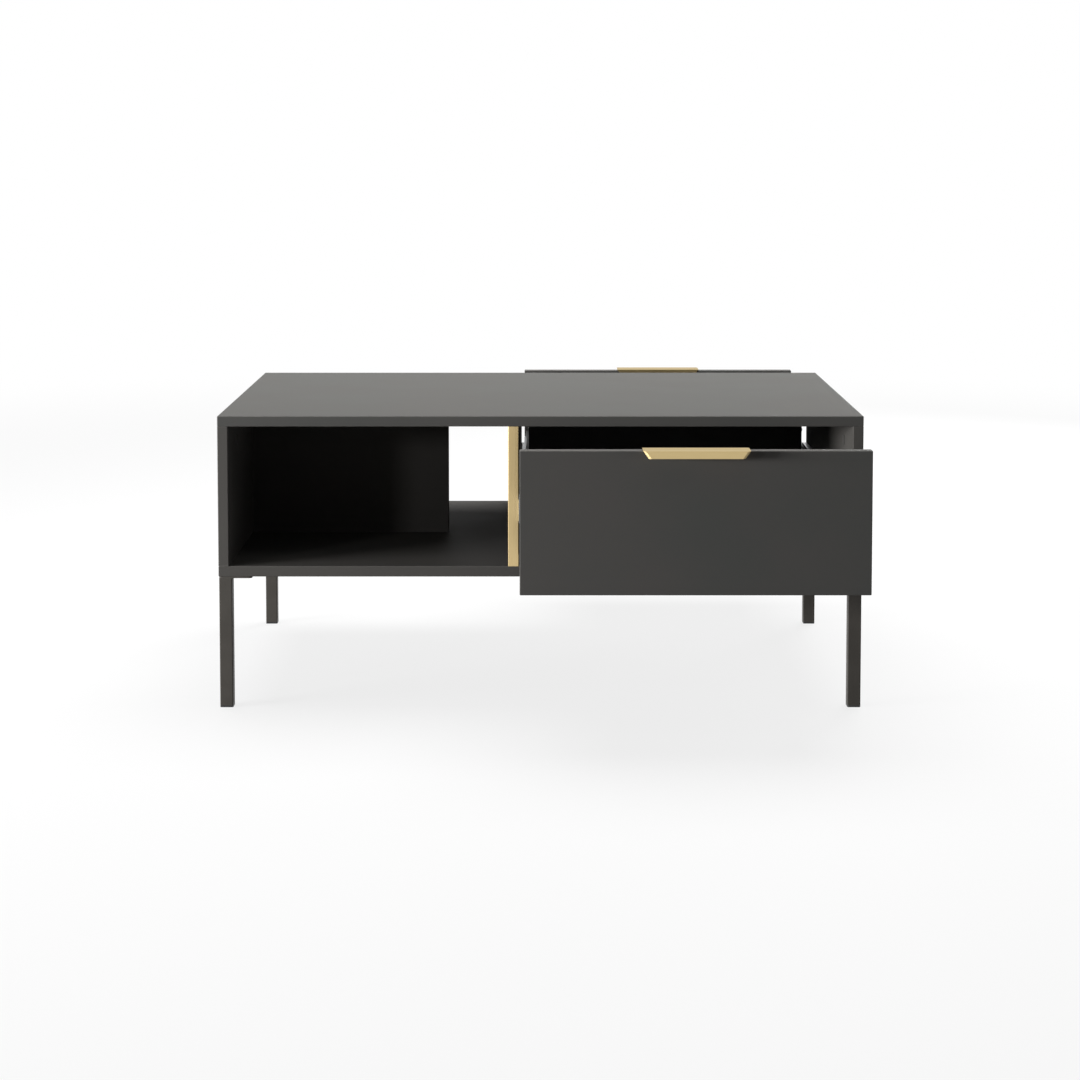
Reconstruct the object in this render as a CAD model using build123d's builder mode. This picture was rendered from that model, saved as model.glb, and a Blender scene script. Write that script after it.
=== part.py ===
"""Coffee table with an open niche, two back-to-back drawers and four square tube legs.

Millimetres. The origin is on the floor under the middle of the table: +X points to the
drawer end, -Y to the front and +Z up. Both drawers stand open by drawer_opening.
"""

import os

from build123d import *

# Carcass
table_width = 980.0
table_depth = 600.0
table_height = 448.0
underside_height = 202.0  # floor to the underside of the bottom panel
board = 16.0  # carcass boards and drawer fronts
edge_ease = 1.0  # chamfer along the edges that show
niche_width = 425.0  # left side panel to divider
passage_width = 102.0  # way through the niche, between its partition and the divider
edging = 2.0  # strip on the front and rear edge of the divider

# Legs
tube = 20.0
tube_wall = 1.5
tube_corner = 1.5
leg_inset = 0.7  # from the outer faces of the carcass
plate_size = 50.0
plate_thickness = 2.5
plate_corner = 3.0
plate_screw_inset = 10.0  # from the edges of the plate
glide_flange = 3.0
glide_plug = 12.0
glide_play = 0.2

# Drawers
travel_left = 20.0  # what the open drawers can still slide out
front_gap = 3.5  # round each drawer front
box_board = 12.0
box_lift = 15.0  # drawer sides above the bottom panel
box_headroom = 59.0  # drawer sides below the top panel
box_end_gap = 29.0  # rear end of a shut drawer box to the middle of the table
bottom_sheet = 3.0
groove_height = 10.0  # lower edge of the drawer sides to the groove
groove_depth = 6.0
groove_play = 0.2

# Drawer handles
handle_width = 152.0
handle_taper = 8.0  # how much shorter each end is at the lower edge of the lip
handle_sheet = 2.0
handle_reach = 20.0  # in front of the drawer front
handle_drop = 10.8  # height of the lip
handle_lip = 4.0  # thickness of the lip
handle_bevel = 3.0  # facet on each slanted end of the lip
handle_bend = 0.8
handle_tail = 14.0  # flange down the back of the drawer front
handle_screw_spacing = 96.0

# Slides, in section: nested rails of rolled sheet with balls in cages between them
slide_thickness = 12.7
slide_setback = 2.0  # behind the drawer front
slide_end_gap = 32.0  # rear end of a slide to the middle of the table
rail_height = 45.0
rail_sheet = 1.2
rail_bend = 1.6  # outer radius of a bend
ball_gap = 3.6  # between the arms of nested rails
lip_gap = 0.9  # between the lip of a rail and the rail inside it
screw_head_room = 2.4  # between the webs of the cabinet rail and the middle rail
cabinet_arm_gap = 3.1  # arms of the cabinet rail to the drawer side
middle_arm_gap = 2.3  # arms of the middle rail to the drawer side
drawer_arm_gap = 1.2  # arms of the drawer rail to the web of the middle rail
cage_play = 0.3
cage_run_out = 10.0  # how much shorter a cage is than half a rail
lever_length = 46.0
lever_height = 9.0
lever_thickness = 2.5
lever_start = 82.0  # from the front end of the drawer rail
lever_tab = 14.0  # flared end for the finger
lever_arm = 5.0
rail_screw_inset = 35.0  # from each end of the rail

# Fasteners
screw_shank = 1.75
screw_head = 3.5
screw_head_height = 1.4
screw_play = 0.3
screw_cover = 6.0  # carcass board left over the tip of a screw
box_screw_cover = 2.0
back_screw_bite = 10.0
confirmat_shank = 3.4
confirmat_head = 5.3
confirmat_bite = 34.0
cam_radius = 7.5
cam_floor = 3.5  # board left behind the cam
cam_setback = 34.0
box_cam_radius = 6.0
box_cam_floor = 2.0
box_cam_setback = 24.0
cam_play = 0.1
bolt_shank = 2.5
bolt_head = 3.2
bolt_head_height = 3.0
bolt_bite = 11.0
bolt_overrun = 2.0  # past the middle of the cam
bolt_play = 0.3
dowel_radius = 4.0
dowel_in_top = 11.0
dowel_in_upright = 20.0
dowel_play = 0.1
joint_inset = 100.0  # cams and confirmat screws from the ends of a joint
dowel_inset = 180.0
partition_joint_inset = 60.0
back_screw_inset = 22.0  # from the upper and lower edge of the drawer back
sheet_screw_inset = 110.0  # from the ends of the drawer back
round_sides = 10  # sides of the small round fasteners and their bores
cam_sides = 16
shank_sides = 6

# Levels and lines worked out from the sizes above
half_width = table_width / 2
half_depth = table_depth / 2
floor_level = underside_height + board
ceiling = table_height - board
inner_height = ceiling - floor_level
niche_left = board - half_width
divider_left = niche_left + niche_width
bay_left = divider_left + board
bay_right = half_width - board
bay_middle = Plane.YZ.offset((bay_left + bay_right) / 2)
partition_right = divider_left - passage_width
slide_front = half_depth - board - slide_setback  # front end of the slides, along -Y
slide_length = slide_front - slide_end_gap
drawer_opening = slide_length - travel_left  # how far both drawers stand open
face_out = half_depth + drawer_opening  # front face of the open drawer, along -Y
back_out = face_out - board
box_end_out = box_end_gap + drawer_opening
box_length = back_out - box_end_out
front_low = floor_level + front_gap
front_high = ceiling - front_gap
front_left = bay_left + front_gap
front_right = bay_right - front_gap
handle_middle = (bay_left + bay_right) / 2
box_left = bay_left + slide_thickness
box_right = bay_right - slide_thickness
box_low = floor_level + box_lift
box_high = ceiling - box_headroom
box_height = box_high - box_low
groove_low = box_low + groove_height
slide_level = box_low + box_height / 2
cabinet_half = rail_height / 2
middle_half = cabinet_half - rail_sheet - ball_gap
drawer_half = middle_half - rail_sheet - ball_gap
middle_web = rail_sheet + screw_head_room
cabinet_reach = slide_thickness - cabinet_arm_gap
middle_reach = slide_thickness - middle_arm_gap
drawer_reach = middle_web + rail_sheet + drawer_arm_gap
cage_length = slide_length / 2 - cage_run_out
cage_start = (slide_length - cage_length) / 2
cam_depth = board - cam_floor
box_cam_depth = box_board - box_cam_floor
uprights = [niche_left - board / 2, divider_left + board / 2, bay_right + board / 2]
partition_joints = [niche_left + partition_joint_inset, partition_right - partition_joint_inset]

os.makedirs("parts", exist_ok=True)


def save(piece, name):
    """Label a finished piece and write it."""
    piece.part.label = name
    export_step(piece.part, f"parts/{name}.step")


def save_both_ends(piece, name):
    """Write a piece of the front drawer and its mirror image for the rear drawer."""
    with BuildPart() as rear_piece:
        mirror(piece.part, about=Plane.XZ)
    save(piece, f"front_{name}")
    save(rear_piece, f"rear_{name}")


def save_all_slides(piece, name):
    """Write a piece of the front left slide and its mirror images for the other slides."""
    with BuildPart() as right_piece:
        mirror(piece.part, about=bay_middle)
    save_both_ends(piece, f"left_{name}")
    save_both_ends(right_piece, f"right_{name}")


def wood_screw(held, bite):
    """Screw with its head above Z = 0 that goes through what it holds and bites into a board."""
    with BuildPart() as screw:
        with BuildSketch():
            RegularPolygon(screw_head, round_sides)
        extrude(amount=screw_head_height)
        with BuildSketch():
            RegularPolygon(screw_shank, shank_sides)
        extrude(amount=-(held + bite))
    return screw.part


def cam_lock(radius, depth, axis_depth):
    """Cam below Z = 0, with a mouth towards +X for the head of its bolt."""
    mouth = 2 * (bolt_head + bolt_play)
    with BuildPart() as cam:
        with BuildSketch():
            RegularPolygon(radius, cam_sides)
        extrude(amount=-depth)
        with BuildSketch(Plane.YZ.offset(radius)):
            with Locations((0, -axis_depth)):
                Rectangle(mouth, mouth)
        extrude(amount=-(radius + bolt_overrun + bolt_play), mode=Mode.SUBTRACT)
    return cam.part


def cam_bolt(setback):
    """Bolt that bites upward from Z = 0 and reaches down into a cam set back from the joint."""
    reach = setback + bolt_overrun
    with BuildPart() as bolt:
        with BuildSketch(Plane.XY.offset(-reach)):
            RegularPolygon(bolt_head, round_sides)
        extrude(amount=bolt_head_height)
        with BuildSketch(Plane.XY.offset(-reach)):
            RegularPolygon(bolt_shank, round_sides)
        extrude(amount=reach + bolt_bite)
    return bolt.part


def bores(places, radius, depth, sides=round_sides):
    """Cut bores below their planes, with as few sides as the fasteners that go in them."""
    with BuildSketch(*places) as outline:
        RegularPolygon(radius, sides)
    extrude(outline.sketch, amount=-depth, mode=Mode.SUBTRACT)


def facing_up(x, y, z):
    return Plane(origin=(x, y, z), z_dir=(0, 0, 1))


def facing_down(x, y, z):
    return Plane(origin=(x, y, z), z_dir=(0, 0, -1))


def facing_side(x, y, z, direction):
    """Plane on an upright face that looks along +X or -X, with its own X axis upward."""
    return Plane(origin=(x, y, z), x_dir=(0, 0, 1), z_dir=(direction, 0, 0))


# Places of the carcass fasteners
joint_rows = [joint_inset - half_depth, half_depth - joint_inset]
dowel_rows = [dowel_inset - half_depth, half_depth - dowel_inset]
cam_level = ceiling - cam_setback
cam_faces = [
    facing_side(x, y, cam_level, direction)
    for x, direction in [(niche_left, 1), (bay_left, 1), (bay_right, -1)]
    for y in joint_rows
]
bolt_places = [facing_up(x, y, ceiling) for x in uprights for y in joint_rows]
dowel_places = [facing_up(x, y, ceiling) for x in uprights for y in dowel_rows]
dowel_places += [facing_up(x, 0, ceiling) for x in partition_joints]
confirmat_places = [facing_down(x, y, underside_height) for x in uprights for y in joint_rows]
confirmat_places += [facing_down(x, 0, underside_height) for x in partition_joints]


# Top and bottom panel
with BuildPart() as top_panel:
    with BuildSketch(Plane.XY.offset(ceiling)):
        Rectangle(table_width, table_depth)
    extrude(amount=board)
    chamfer(top_panel.edges(), edge_ease)
    bores([facing_down(*place.origin) for place in dowel_places], dowel_radius + dowel_play, dowel_in_top)
save(top_panel, "top_panel")

with BuildPart() as bottom_panel:
    with BuildSketch(Plane.XY.offset(underside_height)):
        Rectangle(table_width, table_depth)
    extrude(amount=board)
    chamfer(bottom_panel.edges(), edge_ease)
save(bottom_panel, "bottom_panel")


# Uprights: side panels and divider, each bored for two cams, their bolts and two dowels
def upright(low_x, depth, face_x, direction):
    """Upright board that starts at low_x, with its cams in the face at face_x."""
    middle_x = low_x + board / 2
    with BuildPart() as panel:
        with BuildSketch(Plane.YZ.offset(low_x)):
            with Locations((0, (floor_level + ceiling) / 2)):
                Rectangle(depth, inner_height)
        extrude(amount=board)
        chamfer(panel.edges().filter_by(Axis.Z), edge_ease)
        cam_mouths = [facing_side(face_x, y, cam_level, direction) for y in joint_rows]
        bores(cam_mouths, cam_radius + cam_play, cam_depth, cam_sides)
        bolt_mouths = [facing_up(middle_x, y, ceiling) for y in joint_rows]
        bores(bolt_mouths, bolt_head + bolt_play, cam_setback)
        dowel_mouths = [facing_up(middle_x, y, ceiling) for y in dowel_rows]
        bores(dowel_mouths, dowel_radius + dowel_play, dowel_in_upright)
    return panel


save(upright(-half_width, table_depth, niche_left, 1), "left_side_panel")
save(upright(bay_right, table_depth, bay_right, -1), "right_side_panel")
save(upright(divider_left, table_depth - 2 * edging, bay_left, 1), "divider_panel")

with BuildPart() as divider_edging:
    with BuildSketch(Plane.XZ.offset(half_depth - edging)):
        with Locations((divider_left + board / 2, (floor_level + ceiling) / 2)):
            Rectangle(board, inner_height)
    extrude(amount=edging)
    front_edges = divider_edging.faces().sort_by(Axis.Y)[0].edges()
    chamfer(front_edges.filter_by(Axis.Z), edge_ease)
save_both_ends(divider_edging, "divider_edging")

with BuildPart() as niche_partition:
    with BuildSketch(Plane.XY.offset(floor_level)):
        with Locations(((niche_left + partition_right) / 2, 0)):
            Rectangle(partition_right - niche_left, board)
    extrude(amount=inner_height)
    end_edges = niche_partition.faces().sort_by(Axis.X)[-1].edges()
    chamfer(end_edges.filter_by(Axis.Z), edge_ease)
    dowel_mouths = [facing_up(x, 0, ceiling) for x in partition_joints]
    bores(dowel_mouths, dowel_radius + dowel_play, dowel_in_upright)
save(niche_partition, "niche_partition")


# Carcass fasteners
with BuildPart() as cam_locks:
    with Locations(*cam_faces):
        add(cam_lock(cam_radius, cam_depth, board / 2))
save(cam_locks, "cam_locks")

with BuildPart() as cam_bolts:
    with Locations(*bolt_places):
        add(cam_bolt(cam_setback))
save(cam_bolts, "cam_bolts")

with BuildPart() as dowel:
    with BuildSketch(Plane.XY.offset(-dowel_in_upright)):
        RegularPolygon(dowel_radius, round_sides)
    extrude(amount=dowel_in_upright + dowel_in_top)
with BuildPart() as dowels:
    with Locations(*dowel_places):
        add(dowel.part)
save(dowels, "dowels")

with BuildPart() as confirmat:
    with BuildSketch():
        RegularPolygon(confirmat_head, round_sides)
    extrude(amount=confirmat_shank - confirmat_head, taper=45)
    with BuildSketch():
        RegularPolygon(confirmat_shank, round_sides)
    extrude(amount=-(board + confirmat_bite))
with BuildPart() as confirmat_screws:
    with Locations(*confirmat_places):
        add(confirmat.part)
save(confirmat_screws, "confirmat_screws")


# Legs: a square tube welded into the outer corner of its plate, with a glide in the end
leg_x = leg_inset + tube / 2 - half_width
leg_y = leg_inset + tube / 2 - half_depth
plate_x = leg_inset + plate_size / 2 - half_width
plate_y = leg_inset + plate_size / 2 - half_depth
plate_low = underside_height - plate_thickness
inner_screw = plate_size / 2 - plate_screw_inset
leg_screw_places = [
    facing_down(plate_x + inner_screw, plate_y + inner_screw, plate_low),
    facing_down(plate_x + inner_screw, plate_y - inner_screw, plate_low),
    facing_down(plate_x - inner_screw, plate_y + inner_screw, plate_low),
]

with BuildPart() as leg:
    with BuildSketch(Plane.XY.offset(glide_flange)):
        with Locations((leg_x, leg_y)):
            RectangleRounded(tube, tube, tube_corner)
            Rectangle(tube - 2 * tube_wall, tube - 2 * tube_wall, mode=Mode.SUBTRACT)
    extrude(amount=plate_low - glide_flange)
    with BuildSketch(Plane.XY.offset(plate_low)) as plate_outline:
        with Locations((plate_x, plate_y)):
            Rectangle(plate_size, plate_size)
        chamfer(plate_outline.vertices(), plate_corner)
    extrude(amount=plate_thickness)
    bores(leg_screw_places, screw_shank + screw_play, plate_thickness)

with BuildPart() as glide:
    with BuildSketch() as foot_outline:
        with Locations((leg_x, leg_y)):
            Rectangle(tube, tube)
        chamfer(foot_outline.vertices(), tube_corner)
    extrude(amount=glide_flange)
    plug = tube - 2 * (tube_wall + glide_play)
    with BuildSketch(Plane.XY.offset(glide_flange)):
        with Locations((leg_x, leg_y)):
            Rectangle(plug, plug)
    extrude(amount=glide_plug)

with BuildPart() as right_leg:
    mirror(leg.part, about=Plane.YZ)
save_both_ends(leg, "left_leg")
save_both_ends(right_leg, "right_leg")

with BuildPart() as foot_glides:
    add(glide.part)
    mirror(about=Plane.YZ)
    mirror(about=Plane.XZ)
save(foot_glides, "foot_glides")

with BuildPart() as leg_screws:
    with Locations(*leg_screw_places):
        add(wood_screw(plate_thickness, board - screw_cover))
    mirror(about=Plane.YZ)
    mirror(about=Plane.XZ)
save(leg_screws, "leg_screws")


# Drawer front and handle
with BuildPart() as drawer_front:
    with BuildSketch(Plane.XZ.offset(back_out)):
        with Locations(((front_left + front_right) / 2, (front_low + front_high) / 2)):
            Rectangle(front_right - front_left, front_high - front_low)
    extrude(amount=board)
    chamfer(drawer_front.edges(), edge_ease)
    with BuildSketch(Plane.XZ.offset(back_out)):
        with Locations(((box_left + box_right) / 2, groove_low + (bottom_sheet + groove_play) / 2)):
            Rectangle(
                box_right - box_left - 2 * (box_board - groove_depth),
                bottom_sheet + groove_play,
            )
    extrude(amount=groove_depth, mode=Mode.SUBTRACT)
save_both_ends(drawer_front, "drawer_front_panel")

handle_top = front_high + handle_sheet
lip_low = handle_top - handle_drop
tail_low = front_high - handle_tail
handle_screw_places = [
    Plane(
        origin=(handle_middle + side * handle_screw_spacing / 2, handle_sheet - back_out,
                (front_high + tail_low) / 2),
        z_dir=(0, 1, 0),
    )
    for side in (-1, 1)
]
with BuildPart() as handle:
    with BuildSketch(Plane.YZ.offset(handle_middle - handle_width / 2)):
        with BuildLine():
            Polyline(
                (handle_sheet - back_out, tail_low),
                (handle_sheet - back_out, handle_top),
                (-face_out - handle_reach, handle_top),
                (-face_out - handle_reach, lip_low),
                (-face_out - handle_reach + handle_lip, lip_low),
                (-face_out - handle_reach + handle_lip, front_high),
                (-back_out, front_high),
                (-back_out, tail_low),
                close=True,
            )
        make_face()
    extrude(amount=handle_width)
    with BuildSketch(Plane.XZ):
        with BuildLine():
            Polyline(
                (handle_middle - handle_width / 2, handle_top),
                (handle_middle + handle_width / 2, handle_top),
                (handle_middle + handle_width / 2 - handle_taper, lip_low),
                (handle_middle + handle_width / 2 - handle_taper, tail_low),
                (handle_middle - handle_width / 2 + handle_taper, tail_low),
                (handle_middle - handle_width / 2 + handle_taper, lip_low),
                close=True,
            )
        make_face()
    extrude(amount=face_out + handle_reach, mode=Mode.INTERSECT)
    lip_edges = handle.faces().sort_by(Axis.Y)[0].edges()
    chamfer(lip_edges.filter_by(Axis.X, reverse=True), handle_bevel)
    top_edges = handle.faces().sort_by(Axis.Z)[-1].edges().filter_by(Axis.X)
    fillet(top_edges, handle_bend)
    bores(handle_screw_places, screw_shank + screw_play, handle_sheet)
save_both_ends(handle, "drawer_handle")


# Drawer box: two sides, a back that stands on the bottom sheet, and the sheet in its grooves
box_cam_place = Plane(
    origin=(box_left + box_board, box_cam_setback - back_out, slide_level),
    x_dir=(0, -1, 0),
    z_dir=(1, 0, 0),
)
box_bolt_place = Plane(
    origin=(box_left + box_board / 2, -back_out, slide_level), x_dir=(1, 0, 0), z_dir=(0, -1, 0)
)
with BuildPart() as box_side:
    with BuildSketch(Plane.YZ.offset(box_left)):
        with Locations((-(back_out + box_end_out) / 2, slide_level)):
            Rectangle(box_length, box_height)
    extrude(amount=box_board)
    with BuildSketch(Plane.YZ.offset(box_left + box_board)):
        with Locations((-(back_out + box_end_out) / 2, groove_low + (bottom_sheet + groove_play) / 2)):
            Rectangle(box_length, bottom_sheet + groove_play)
    extrude(amount=-groove_depth, mode=Mode.SUBTRACT)
    bores([box_cam_place], box_cam_radius + cam_play, box_cam_depth, cam_sides)
    bores([box_bolt_place], bolt_head + bolt_play, box_cam_setback)
with BuildPart() as right_box_side:
    mirror(box_side.part, about=bay_middle)
save_both_ends(box_side, "drawer_left_side")
save_both_ends(right_box_side, "drawer_right_side")

box_inside = box_right - box_left - 2 * box_board
back_low = groove_low + bottom_sheet
with BuildPart() as box_back:
    with BuildSketch(Plane.XZ.offset(box_end_out)):
        with Locations(((box_left + box_right) / 2, (back_low + box_high) / 2)):
            Rectangle(box_inside, box_high - back_low)
    extrude(amount=box_board)
save_both_ends(box_back, "drawer_back")

sheet_front = back_out + groove_depth - groove_play
back_row = -box_end_out - box_board / 2
sheet_screw_run = box_inside / 2 - sheet_screw_inset
sheet_screw_places = [
    facing_down(handle_middle + side * sheet_screw_run, back_row, groove_low) for side in (-1, 1)
]
with BuildPart() as box_bottom:
    with BuildSketch(Plane.XY.offset(groove_low)):
        with Locations(((box_left + box_right) / 2, -(sheet_front + box_end_out) / 2)):
            Rectangle(box_inside + 2 * (groove_depth - groove_play), sheet_front - box_end_out)
    extrude(amount=bottom_sheet)
    bores(sheet_screw_places, screw_shank + screw_play, bottom_sheet)
save_both_ends(box_bottom, "drawer_bottom")


# Drawer fasteners
with BuildPart() as box_cams:
    with Locations(box_cam_place):
        add(cam_lock(box_cam_radius, box_cam_depth, box_board / 2))
    mirror(about=bay_middle)
save_both_ends(box_cams, "drawer_cam_locks")

with BuildPart() as box_bolts:
    with Locations(box_bolt_place):
        add(cam_bolt(box_cam_setback))
    mirror(about=bay_middle)
save_both_ends(box_bolts, "drawer_cam_bolts")

rail_screw_runs = [rail_screw_inset, slide_length - rail_screw_inset]
drawer_rail_web = box_left - rail_sheet
drawer_web_places = [
    facing_side(drawer_rail_web, run - slide_front - drawer_opening, slide_level, -1)
    for run in rail_screw_runs
]
back_screw_places = [
    facing_side(box_left, back_row, level, -1)
    for level in (back_low + back_screw_inset, box_high - back_screw_inset)
]
with BuildPart() as drawer_screws:
    with Locations(*drawer_web_places):
        add(wood_screw(rail_sheet, box_board - box_screw_cover))
    with Locations(*back_screw_places):
        add(wood_screw(box_board, back_screw_bite))
    mirror(about=bay_middle)
    with Locations(*handle_screw_places):
        add(wood_screw(handle_sheet, board - screw_cover))
    with Locations(*sheet_screw_places):
        add(wood_screw(bottom_sheet, back_screw_bite))
save_both_ends(drawer_screws, "drawer_screws")


# Slides, drawn for the front left one
def slide_plane(slid, run=slide_length):
    """Section plane on a rail that has slid out, a given run behind its front end."""
    return Plane(
        origin=(bay_left, run - slide_front - slid, slide_level), x_dir=(1, 0, 0), z_dir=(0, -1, 0)
    )


def rail(slid, outline):
    """Rail of rolled sheet: an outline with rounded bends, offset inward by the sheet."""
    with BuildPart() as member:
        with BuildSketch(slide_plane(slid)):
            with BuildLine():
                FilletPolyline(*outline, radius=rail_bend)
                offset(amount=rail_sheet, side=Side.LEFT)
            make_face()
        extrude(amount=slide_length)
    return member


cabinet_lip = middle_half + lip_gap
cabinet_outline = [
    (cabinet_reach, cabinet_lip),
    (cabinet_reach, cabinet_half),
    (0, cabinet_half),
    (0, -cabinet_half),
    (cabinet_reach, -cabinet_half),
    (cabinet_reach, -cabinet_lip),
]
middle_lip = drawer_half + lip_gap
middle_outline = [
    (middle_reach, middle_lip),
    (middle_reach, middle_half),
    (middle_web, middle_half),
    (middle_web, -middle_half),
    (middle_reach, -middle_half),
    (middle_reach, -middle_lip),
]
drawer_outline = [
    (drawer_reach, -drawer_half),
    (slide_thickness, -drawer_half),
    (slide_thickness, drawer_half),
    (drawer_reach, drawer_half),
]
cabinet_screw_places = [
    facing_side(bay_left + rail_sheet, run - slide_front, slide_level, 1) for run in rail_screw_runs
]

with BuildPart() as cabinet_rail:
    add(rail(0, cabinet_outline).part)
    bores(cabinet_screw_places, screw_shank + screw_play, rail_sheet)
save_all_slides(cabinet_rail, "cabinet_rail")

save_all_slides(rail(drawer_opening / 2, middle_outline), "middle_rail")

with BuildPart() as drawer_rail:
    add(rail(drawer_opening, drawer_outline).part)
    bores(drawer_web_places, screw_shank + screw_play, rail_sheet)
save_all_slides(drawer_rail, "drawer_rail")

with BuildPart() as cabinet_rail_screws:
    with Locations(*cabinet_screw_places):
        add(wood_screw(rail_sheet, board - screw_cover))
    mirror(about=bay_middle)
    mirror(about=Plane.XZ)
save(cabinet_rail_screws, "cabinet_rail_screws")


def ball_cage(slid, near, far, arm_inside):
    """Two strips that hold the balls above and below, between near and far from the wall."""
    strip_height = ball_gap - 2 * cage_play
    strip_level = arm_inside - ball_gap / 2
    with BuildPart() as cage:
        with BuildSketch(slide_plane(slid, cage_start + cage_length)):
            with Locations(((near + far) / 2, strip_level), ((near + far) / 2, -strip_level)):
                Rectangle(far - near, strip_height)
        extrude(amount=cage_length)
    return cage


outer_cage = ball_cage(
    drawer_opening / 4,
    rail_sheet + rail_bend,
    cabinet_reach - rail_sheet - cage_play,
    cabinet_half - rail_sheet,
)
save_all_slides(outer_cage, "outer_ball_cage")
inner_cage = ball_cage(
    drawer_opening * 3 / 4,
    middle_web + rail_sheet + cage_play,
    middle_reach - rail_sheet - cage_play,
    middle_half - rail_sheet,
)
save_all_slides(inner_cage, "inner_ball_cage")

lever_front = lever_start - slide_front - drawer_opening
with BuildPart() as release_levers:
    with BuildSketch(Plane.YZ.offset(drawer_rail_web)):
        with BuildLine():
            Polyline(
                (lever_front, slide_level - lever_height / 2),
                (lever_front + lever_tab, slide_level - lever_arm / 2),
                (lever_front + lever_length, slide_level - lever_arm / 2),
                (lever_front + lever_length, slide_level + lever_arm / 2),
                (lever_front + lever_tab, slide_level + lever_arm / 2),
                (lever_front, slide_level + lever_height / 2),
                close=True,
            )
        make_face()
    extrude(amount=-lever_thickness)
    mirror(about=bay_middle)
save_both_ends(release_levers, "drawer_release_levers")
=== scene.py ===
# %% [markdown]
# # A coffee table with an open niche and two drawers
# The table is packed already as a model of separate boards, legs, rails and fasteners.
# This notebook gives that model its finishes, adds the small pieces that are easier to shape in
# Blender than in CAD, and sets up a plain studio. Every length is in metres. The origin is on the
# floor under the middle of the table, +X points to the drawer end, -Y to the front and +Z up.

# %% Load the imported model
import math

import bmesh
import bpy
from mathutils import Matrix, Vector


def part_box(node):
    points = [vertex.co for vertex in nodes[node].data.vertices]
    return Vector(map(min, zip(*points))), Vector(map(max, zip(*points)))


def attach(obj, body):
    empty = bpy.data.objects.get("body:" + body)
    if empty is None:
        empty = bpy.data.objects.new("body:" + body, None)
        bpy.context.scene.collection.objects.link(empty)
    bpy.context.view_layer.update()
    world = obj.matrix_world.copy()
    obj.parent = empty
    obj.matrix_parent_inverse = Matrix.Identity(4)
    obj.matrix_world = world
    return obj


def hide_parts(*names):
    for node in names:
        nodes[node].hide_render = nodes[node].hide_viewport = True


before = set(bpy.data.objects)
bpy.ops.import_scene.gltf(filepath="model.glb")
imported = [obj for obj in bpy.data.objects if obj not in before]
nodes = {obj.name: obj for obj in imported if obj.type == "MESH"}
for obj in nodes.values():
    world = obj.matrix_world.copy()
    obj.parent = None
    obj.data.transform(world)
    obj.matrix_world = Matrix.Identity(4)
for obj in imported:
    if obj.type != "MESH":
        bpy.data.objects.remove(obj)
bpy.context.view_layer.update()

# %% [markdown]
# ## The camera
# The photo was taken from straight ahead, a little above the top, with upright lines that stay
# upright. A camera that looks down would make them lean, so a photographer shifts the lens instead
# of tilting the camera. Here most of that is lens shift and a little is tilt, because the same
# shift is kept when the table is looked at from its other sides, and has to hold it in the frame
# there too.

# %% Set up the camera
lens_pixels = 2253.8
photo_width = 1080
sensor_width = 36.0
lens_shift = -0.24
downward_tilt = 0.0692
camera_data = bpy.data.cameras.new("photo_camera")
camera_data.sensor_width = sensor_width
camera_data.lens = sensor_width * lens_pixels / photo_width
camera_data.shift_y = lens_shift
camera = bpy.data.objects.new("photo_camera", camera_data)
camera.location = (-0.00055, -3.6913, 0.8885)
camera.rotation_euler = (math.pi / 2 - downward_tilt, 0.0, 0.0)
bpy.context.scene.collection.objects.link(camera)
bpy.context.scene.camera = camera
bpy.context.scene.view_settings.view_transform = "Standard"
print("camera with a", round(camera_data.lens, 1), "mm lens")

# %% [markdown]
# ## Helpers for node trees
# A material is a small graph of nodes. The first helper adds any node and fills its inputs with
# values or links. The others add the nodes that are needed most and give back their results, so that
# a graph reads like a formula. The last one turns a colour as an image editor shows it into the
# linear numbers that Blender works with.


# %% Define the node helpers
def place(tree, kind, inputs=None, **settings):
    """Add a node, set its properties, and fill each named input with a value or a link."""
    node = tree.nodes.new(kind)
    for name, value in settings.items():
        setattr(node, name, value)
    for name, value in (inputs or {}).items():
        if isinstance(value, bpy.types.NodeSocket):
            tree.links.new(value, node.inputs[name])
        else:
            node.inputs[name].default_value = value
    return node


def calculate(tree, operation, first, second):
    """Add a Math node and give back its result."""
    return place(tree, "ShaderNodeMath", {0: first, 1: second}, operation=operation).outputs[0]


def combine(tree, operation, first, second):
    """Add a Vector Math node and give back its vector."""
    return place(tree, "ShaderNodeVectorMath", {0: first, 1: second}, operation=operation).outputs[0]


def mix_colours(tree, share, first, second):
    """Add a colour mix and give back its result."""
    return place(tree, "ShaderNodeMix", {0: share, 6: first, 7: second}, data_type="RGBA").outputs[2]


def fade(tree, value, low, high, to_low=0.0, to_high=1.0):
    """Map the range from low to high smoothly to another range."""
    inputs = {"Value": value, "From Min": low, "From Max": high, "To Min": to_low, "To Max": to_high}
    return place(tree, "ShaderNodeMapRange", inputs, interpolation_type="SMOOTHSTEP").outputs["Result"]


def screen_colour(red, green, blue):
    """Linear colour from the 0 to 255 numbers of an image editor."""
    def linear(level):
        share = level / 255
        return share / 12.92 if share <= 0.04045 else ((share + 0.055) / 1.055) ** 2.4
    return (linear(red), linear(green), linear(blue), 1.0)


print("mid grey is", [round(level, 3) for level in screen_colour(128, 128, 128)])

# %% [markdown]
# ## Studio
# Furniture is photographed on a pale sweep. A sweep would stand in the way of the views from behind,
# so the floor here is a round disc that fades into a white world at its rim. Both are white where the
# camera, a reflection or glass looks at them. As lamps they are dim, because the photo's niche is
# almost black: what lights the table are lamps with a direction.


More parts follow.
